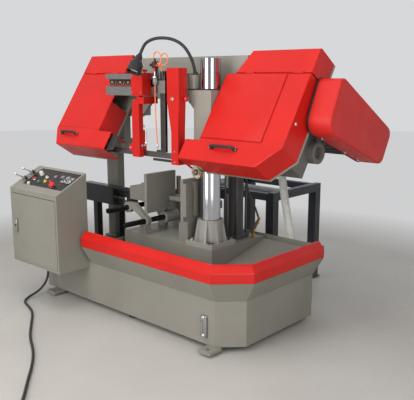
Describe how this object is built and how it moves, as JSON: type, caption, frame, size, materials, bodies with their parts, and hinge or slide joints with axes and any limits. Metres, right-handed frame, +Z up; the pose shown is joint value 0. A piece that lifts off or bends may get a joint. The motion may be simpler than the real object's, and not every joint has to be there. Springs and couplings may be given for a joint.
{
  "type": "band saw",
  "caption": "Horizontal two-column metal band saw: tilted bow with wheel guards, guide arms, hydraulic vise, feed jaw, chip tray, control cabinet and roller table.",
  "frame": {"origin": "on the floor, under the middle of the anchor bolt pattern", "axes": "+X to the operator's right along the blade, +Y to the back, +Z up"},
  "size_m": [2.0464, 2.8063, 1.6431],
  "materials": {
    "red_paint": "satin stoved paint",
    "grey_paint": "satin stoved paint",
    "light_grey_paint": "satin paint over a rough casting",
    "black_paint": "satin paint",
    "slate_paint": "satin paint",
    "grey_casting": "painted casting",
    "bare_casting": "machined casting",
    "ground_steel": "ground",
    "dark_steel": "blackened",
    "blade_steel": "rolled strip",
    "hard_chrome": "ground and chromed",
    "motor_alloy": "painted alloy",
    "brush_brass": "drawn wire",
    "black_plastic": "fine grained",
    "red_plastic": "gloss",
    "green_plastic": "gloss",
    "orange_plastic": "gloss tube with a plated valve",
    "white_plastic": "corrugated",
    "black_rubber": "matte"
  },
  "bodies": {
    "base": {"base_shell": "grey_paint", "tray_rim": "red_paint", "bed": "grey_paint", "leveling_feet": "ground_steel", "main_column": "hard_chrome", "column_foot": "light_grey_paint", "foundation_bolts": "ground_steel", "side_column": "grey_paint", "lift_barrel": "black_paint", "vise_table": "ground_steel", "fixed_jaw": "grey_paint", "vise_cylinder": "black_paint", "side_channel": "black_paint", "rod_yoke": "light_grey_paint", "feed_rods": "dark_steel", "roller_frame": "slate_paint", "cabinet_shell": "grey_paint", "console_panel": "black_plastic", "cord_gland": "black_plastic", "power_cord": "black_rubber", "cord_coil": "black_rubber", "power_plug": "black_plastic", "lift_hoses": "black_rubber"},
    "bow": {"bow_frame": "grey_paint", "wheel_hoods": "red_paint", "guide_rail": "light_grey_paint", "fixed_guide_arm": "red_paint", "gearbox": "grey_casting", "belt_cover": "red_paint", "drive_motor": "motor_alloy", "work_lamp": "black_plastic", "coolant_line": "orange_plastic", "lift_rod": "hard_chrome", "drain_hose": "white_plastic", "blade": "blade_steel", "drive_belts": "black_rubber"},
    "drive_door": {"drive_door": "red_paint", "drive_handle": "black_plastic"},
    "idler_door": {"idler_door": "red_paint", "idler_handle": "black_plastic"},
    "tension_slide": {"tension_slide": "bare_casting"},
    "idler_wheel": {"idler_wheel": "bare_casting"},
    "drive_wheel": {"drive_wheel": "bare_casting"},
    "worm_pulley": {"worm_pulley": "bare_casting"},
    "motor_pulley": {"motor_pulley": "bare_casting"},
    "wire_brush": {"wire_brush": "brush_brass"},
    "sliding_guide_arm": {"sliding_guide_arm": "red_paint"},
    "approach_bar": {"approach_bar": "dark_steel"},
    "movable_jaw": {"movable_jaw": "grey_paint"},
    "feed_carriage": {"feed_carriage": "grey_paint"},
    "feed_jaw": {"feed_jaw": "grey_paint"},
    "table_roller": {"table_roller": "ground_steel"},
    "cabinet_door": {"cabinet_door": "grey_paint"},
    "door_latch": {"door_latch": "black_plastic"},
    "e_stop": {"e_stop": "red_plastic"},
    "start_button": {"start_button": "green_plastic"},
    "stop_button": {"stop_button": "red_plastic"},
    "flow_knob": {"flow_knob": "black_plastic"},
    "lever_a": {"lever_a": "hard_chrome"},
    "lever_b": {"lever_b": "hard_chrome"}
  },
  "joints": [
    {"name": "bow_lift", "type": "slide", "parent": "base", "child": "bow", "axis": [0, 0, 1], "range_m": [-0.28, 0.05], "deforming": ["drain_hose"]},
    {"name": "blade_tension", "type": "slide", "parent": "bow", "child": "tension_slide", "axis": [1, 0, 0], "range_m": [0, 0.01]},
    {"name": "drive_spin", "type": "hinge", "parent": "bow", "child": "drive_wheel", "pos_m": [0.77309, -0.06107, 1.14373], "axis": [0, -0.8387, 0.5446], "continuous": true},
    {"name": "idler_spin", "type": "hinge", "parent": "tension_slide", "child": "idler_wheel", "pos_m": [-0.65609, -0.06107, 1.14373], "axis": [0, -0.8387, 0.5446], "continuous": true},
    {"name": "worm_spin", "type": "hinge", "parent": "bow", "child": "worm_pulley", "pos_m": [1.055, 0.152, 1.235], "axis": [1, 0, 0], "continuous": true},
    {"name": "motor_spin", "type": "hinge", "parent": "bow", "child": "motor_pulley", "pos_m": [1.055, 0.505, 1.075], "axis": [1, 0, 0], "continuous": true},
    {"name": "brush_spin", "type": "hinge", "parent": "bow", "child": "wire_brush", "pos_m": [0.393, -0.171, 0.905], "axis": [0, 1, 0], "continuous": true},
    {"name": "drive_door_hinge", "type": "hinge", "parent": "bow", "child": "drive_door", "pos_m": [0.709, 0.03103, 1.44163], "axis": [-1, 0, 0], "range_deg": [0, 95]},
    {"name": "idler_door_hinge", "type": "hinge", "parent": "bow", "child": "idler_door", "pos_m": [-0.66, 0.03103, 1.44163], "axis": [-1, 0, 0], "range_deg": [0, 95]},
    {"name": "guide_slide", "type": "slide", "parent": "bow", "child": "sliding_guide_arm", "axis": [1, 0, 0], "range_m": [-0.1, 0.05]},
    {"name": "approach_slide", "type": "slide", "parent": "bow", "child": "approach_bar", "axis": [0, 0, 1], "range_m": [-0.06, 0.02]},
    {"name": "vise_slide", "type": "slide", "parent": "base", "child": "movable_jaw", "axis": [1, 0, 0], "range_m": [-0.05, 0.28]},
    {"name": "feed_slide", "type": "slide", "parent": "base", "child": "feed_carriage", "axis": [0, 1, 0], "range_m": [0, 0.15]},
    {"name": "feed_jaw_slide", "type": "slide", "parent": "feed_carriage", "child": "feed_jaw", "axis": [1, 0, 0], "range_m": [-0.05, 0.28]},
    {"name": "roller_spin", "type": "hinge", "parent": "base", "child": "table_roller", "pos_m": [0.0705, 0.7, 0.66], "axis": [1, 0, 0], "continuous": true},
    {"name": "cabinet_door_hinge", "type": "hinge", "parent": "base", "child": "cabinet_door", "pos_m": [-0.374, -0.59, 0.4805], "axis": [0, 0, 1], "range_deg": [0, 110]},
    {"name": "latch_turn", "type": "hinge", "parent": "cabinet_door", "child": "door_latch", "pos_m": [-0.796, -0.59, 0.489], "axis": [0, -1, 0], "range_deg": [0, 90]},
    {"name": "e_stop_press", "type": "slide", "parent": "base", "child": "e_stop", "axis": [0, 0.4592, -0.8884], "range_m": [0, 0.006], "stiffness_N_per_m": 1500},
    {"name": "start_press", "type": "slide", "parent": "base", "child": "start_button", "axis": [0, 0.4592, -0.8884], "range_m": [0, 0.003], "stiffness_N_per_m": 800},
    {"name": "stop_press", "type": "slide", "parent": "base", "child": "stop_button", "axis": [0, 0.4592, -0.8884], "range_m": [0, 0.003], "stiffness_N_per_m": 800},
    {"name": "flow_turn", "type": "hinge", "parent": "base", "child": "flow_knob", "pos_m": [-0.716, -0.43876, 0.80514], "axis": [0, -0.4592, 0.8884], "range_deg": [0, 270]},
    {"name": "lever_a_swing", "type": "hinge", "parent": "base", "child": "lever_a", "pos_m": [-0.8, -0.51362, 0.78446], "axis": [0, 0.8884, 0.4592], "range_deg": [-10, 10]},
    {"name": "lever_b_swing", "type": "hinge", "parent": "base", "child": "lever_b", "pos_m": [-0.8, -0.45499, 0.81476], "axis": [0, 0.8884, 0.4592], "range_deg": [-10, 10]}
  ],
  "couplings": [
    {"joint": "idler_spin", "follows": "drive_spin", "ratio": 1},
    {"joint": "worm_spin", "follows": "drive_spin", "ratio": 20},
    {"joint": "motor_spin", "follows": "drive_spin", "ratio": 40}
  ]
}
